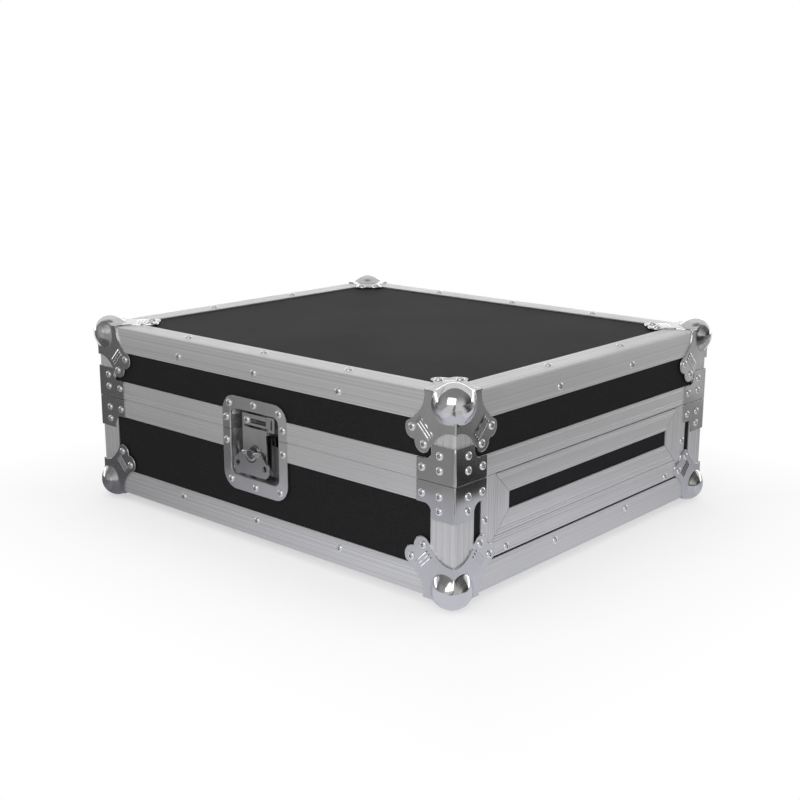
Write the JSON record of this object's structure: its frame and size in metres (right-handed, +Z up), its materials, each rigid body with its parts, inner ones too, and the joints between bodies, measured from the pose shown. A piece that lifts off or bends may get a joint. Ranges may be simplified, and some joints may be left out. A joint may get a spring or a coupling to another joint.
{
  "type": "dj mixer flight case",
  "caption": "Flight case for a mixing desk: laminated boards in aluminium extrusions, ball corners, lift-off lid, twist latches, draw-out cable panel and a recessed drop handle.",
  "frame": {"origin": "on the floor under the middle of the closed case, level with the bottom of the ball corners", "axes": "+Z up, +Y from the access panel end to the handle end, +X to the right-hand latch"},
  "size_m": [0.5, 0.5818, 0.228],
  "materials": {
    "laminate": "plywood with a black phenolic laminate, fine matt grain",
    "extrusion": "satin, drawn lines along the length",
    "plated_steel": "bright plated pressing",
    "brace_steel": "plated, satin",
    "hardware_steel": "plated, satin",
    "rivet": "bright",
    "foam": "charcoal open-cell foam",
    "grip_rubber": "matt"
  },
  "bodies": {
    "base": {"base_back_board": "laminate", "base_ball_corners": "plated_steel", "base_corner_braces": "brace_steel", "base_corner_posts": "extrusion", "base_edge_back": "extrusion", "base_edge_front": "extrusion", "base_edge_left": "extrusion", "base_edge_right": "extrusion", "base_floor_board": "laminate", "base_floor_foam": "foam", "base_front_board": "laminate", "base_left_board": "laminate", "base_right_board": "laminate", "base_rim_back": "extrusion", "base_rim_front": "extrusion", "base_rim_left": "extrusion", "base_rim_right": "extrusion", "base_rivets": "rivet", "base_wall_foam": "foam", "handle_dish": "hardware_steel", "left_latch_bed": "hardware_steel", "left_latch_dish": "hardware_steel", "opening_trim_bottom": "extrusion", "opening_trim_sides": "extrusion", "right_latch_bed": "hardware_steel", "right_latch_dish": "hardware_steel"},
    "lid": {"left_catch_dish": "hardware_steel", "left_catch_striker": "hardware_steel", "lid_back_board": "laminate", "lid_ball_corners": "plated_steel", "lid_corner_braces": "brace_steel", "lid_corner_posts": "extrusion", "lid_edge_back": "extrusion", "lid_edge_front": "extrusion", "lid_edge_left": "extrusion", "lid_edge_right": "extrusion", "lid_foam_pad": "foam", "lid_front_board": "laminate", "lid_left_board": "laminate", "lid_right_board": "laminate", "lid_rim_ends": "extrusion", "lid_rim_sides": "extrusion", "lid_rivets": "rivet", "lid_top_board": "laminate", "right_catch_dish": "hardware_steel", "right_catch_striker": "hardware_steel"},
    "access_panel": {"access_panel_board": "laminate", "access_panel_rails": "extrusion", "access_panel_stiles": "extrusion"},
    "handle": {"handle_bail": "hardware_steel", "handle_grip": "grip_rubber"},
    "left_spindle": {"left_latch_spindle": "hardware_steel", "left_latch_pin": "hardware_steel"},
    "left_wing": {"left_latch_wing": "hardware_steel"},
    "left_hook": {"left_latch_hook": "hardware_steel"},
    "right_spindle": {"right_latch_spindle": "hardware_steel", "right_latch_pin": "hardware_steel"},
    "right_wing": {"right_latch_wing": "hardware_steel"},
    "right_hook": {"right_latch_hook": "hardware_steel"}
  },
  "joints": [
    {"name": "lid_lift", "type": "slide", "parent": "base", "child": "lid", "axis": [0, 0, 1], "range_m": [0, 0.26]},
    {"name": "access_panel_lift", "type": "slide", "parent": "base", "child": "access_panel", "axis": [0, 0, 1], "range_m": [0, 0.105]},
    {"name": "handle_swing", "type": "hinge", "parent": "base", "child": "handle", "pos_m": [0, 0.2745, 0.0885], "axis": [1, 0, 0], "range_deg": [0, 90]},
    {"name": "left_latch_turn", "type": "hinge", "parent": "base", "child": "left_spindle", "pos_m": [-0.24, 0.003, 0.108], "axis": [1, 0, 0], "range_deg": [0, 180]},
    {"name": "left_wing_fold", "type": "hinge", "parent": "left_spindle", "child": "left_wing", "pos_m": [-0.2432, 0.003, 0.108], "axis": [0, 1, 0], "range_deg": [0, 95]},
    {"name": "left_latch_draw", "type": "slide", "parent": "base", "child": "left_hook", "axis": [0.9487, 0, -0.3162], "range_m": [0, 0.0048]},
    {"name": "right_latch_turn", "type": "hinge", "parent": "base", "child": "right_spindle", "pos_m": [0.24, 0.003, 0.108], "axis": [-1, 0, 0], "range_deg": [0, 180]},
    {"name": "right_wing_fold", "type": "hinge", "parent": "right_spindle", "child": "right_wing", "pos_m": [0.2432, 0.003, 0.108], "axis": [0, -1, 0], "range_deg": [0, 95]},
    {"name": "right_latch_draw", "type": "slide", "parent": "base", "child": "right_hook", "axis": [-0.9487, 0, -0.3162], "range_m": [0, 0.0048]}
  ],
  "couplings": [
    {"joint": "access_panel_lift", "follows": "lid_lift", "ratio": 0.4},
    {"joint": "left_latch_draw", "follows": "left_latch_turn", "m_per_rad": 0.00151},
    {"joint": "right_latch_draw", "follows": "right_latch_turn", "m_per_rad": 0.00151}
  ]
}
